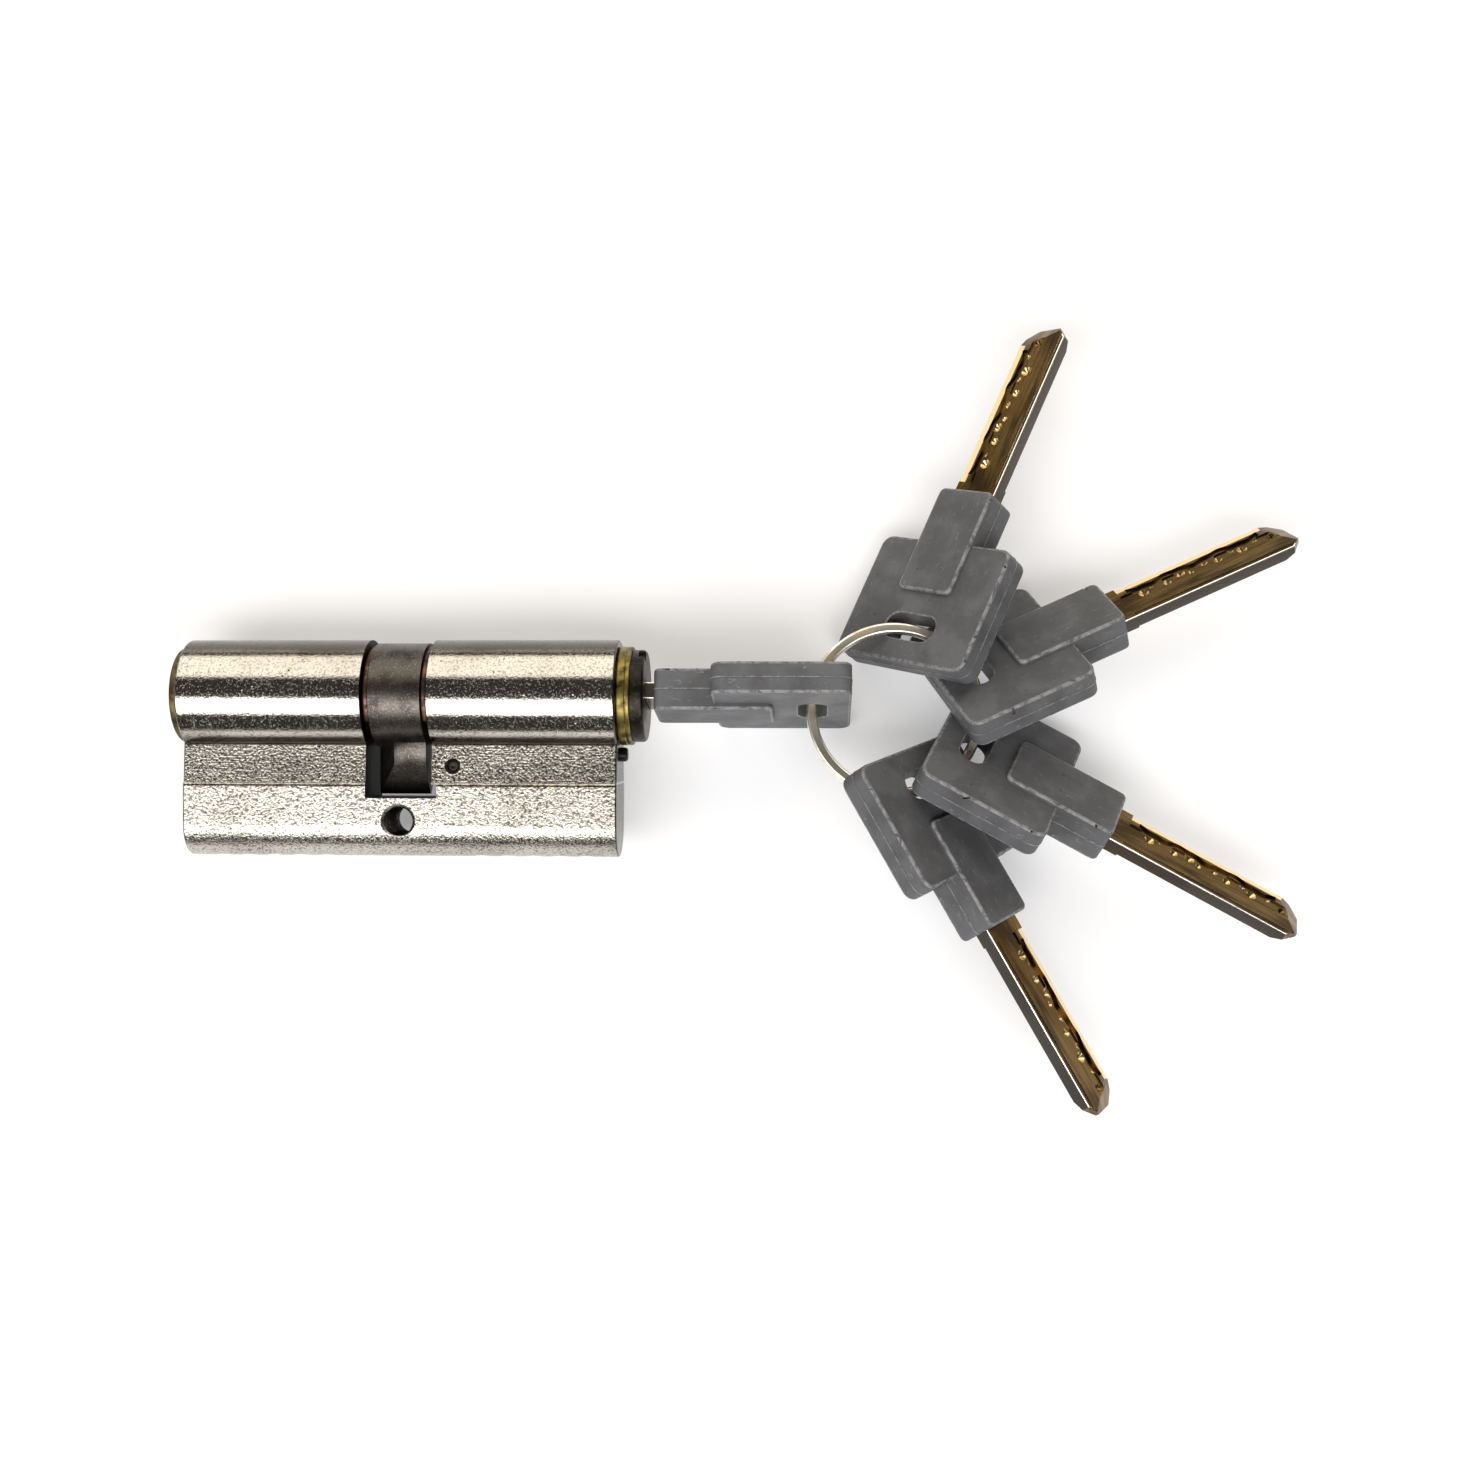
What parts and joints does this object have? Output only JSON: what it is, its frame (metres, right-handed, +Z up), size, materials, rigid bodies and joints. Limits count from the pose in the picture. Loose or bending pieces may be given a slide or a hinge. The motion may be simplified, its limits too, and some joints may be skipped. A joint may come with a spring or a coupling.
{
  "type": "euro cylinder",
  "caption": "Double euro-profile lock cylinder with cam, pin stacks and clutch; a dimple key in its plug carries a split ring of matching keys.",
  "frame": {"origin": "centre of the fixing-screw hole, half way through the flange", "axes": "+Z up from the flat surface that the cylinder and its keys lie on; +X level, under the plug axis, towards the keyed side; +Y from the flange towards the barrel. The plug axis rises 2.9 degrees above X, and the flange leans 10.3 degrees, because the barrel, the flange and the head of the inserted key rest on that surface"},
  "size_m": [0.172, 0.1231, 0.0263],
  "materials": {
    "nickel_body": "matte nickel plate on brass, fine grain",
    "brass_plug": "turned brass",
    "brass_pins": "turned brass",
    "black_steel": "blackened steel",
    "sintered_cam": "sintered steel, oiled",
    "copper_clip": "coppered spring steel",
    "bright_steel": "bright steel",
    "ring_steel": "bright nickel",
    "key_blade": "nickel silver, milled",
    "key_head": "moulded grey plastic with scuffs"
  },
  "bodies": {
    "housing": {"cylinder_body": "nickel_body", "fixing_side_pin": "bright_steel", "guard_pin": "black_steel", "inner_plug": "brass_plug", "inner_clip": "copper_clip", "inner_key_pins": "brass_pins", "outer_driver_pins": "bright_steel", "inner_driver_pins": "bright_steel", "outer_pin_springs": "bright_steel", "inner_pin_springs": "bright_steel", "outer_stoppers": "brass_pins", "inner_stoppers": "brass_pins"},
    "keyed_plug": {"outer_plug": "brass_plug", "key_guide": "black_steel", "plug_guard_pins": "black_steel", "outer_clip": "copper_clip", "outer_key_pins": "brass_pins", "key_5_blade": "key_blade", "key_5_head": "key_head"},
    "cam_unit": {"cam": "sintered_cam", "outer_clutch": "bright_steel", "inner_clutch": "bright_steel", "clutch_spring": "bright_steel"},
    "key_ring": {"split_ring": "ring_steel"},
    "loose_key_1": {"key_1_blade": "key_blade", "key_1_head": "key_head"},
    "loose_key_2": {"key_2_blade": "key_blade", "key_2_head": "key_head"},
    "loose_key_3": {"key_3_blade": "key_blade", "key_3_head": "key_head"},
    "loose_key_4": {"key_4_blade": "key_blade", "key_4_head": "key_head"}
  },
  "joints": [
    {"name": "plug_turn", "type": "hinge", "parent": "housing", "child": "keyed_plug", "pos_m": [-0.00017, 0.01869, 0.00341], "axis": [0.9987, 0, 0.0511], "continuous": true},
    {"name": "cam_turn", "type": "hinge", "parent": "housing", "child": "cam_unit", "pos_m": [-0.00017, 0.01869, 0.00341], "axis": [0.9987, 0, 0.0511], "continuous": true},
    {"name": "ring_swing", "type": "hinge", "parent": "keyed_plug", "child": "key_ring", "pos_m": [0.06194, 0.0186, 0.00349], "axis": [-0.0015, -0.9996, 0.0289], "range_deg": [-30, 60]},
    {"name": "fan_slide", "type": "hinge", "parent": "key_ring", "child": "loose_key_3", "pos_m": [0.07477, 0.01725, 0.00349], "axis": [0, 0, 1], "range_deg": [-10, 8]},
    {"name": "key_2_spread", "type": "hinge", "parent": "loose_key_3", "child": "loose_key_2", "pos_m": [0.07477, 0.01725, 0.00349], "axis": [0, 0, 1], "range_deg": [0, 12]},
    {"name": "key_1_spread", "type": "hinge", "parent": "loose_key_2", "child": "loose_key_1", "pos_m": [0.07477, 0.01725, 0.00349], "axis": [0, 0, 1], "range_deg": [0, 14]},
    {"name": "key_4_spread", "type": "hinge", "parent": "loose_key_3", "child": "loose_key_4", "pos_m": [0.07477, 0.01725, 0.00349], "axis": [0, 0, -1], "range_deg": [0, 38]}
  ],
  "couplings": [
    {"joint": "cam_turn", "follows": "plug_turn", "ratio": 1}
  ]
}
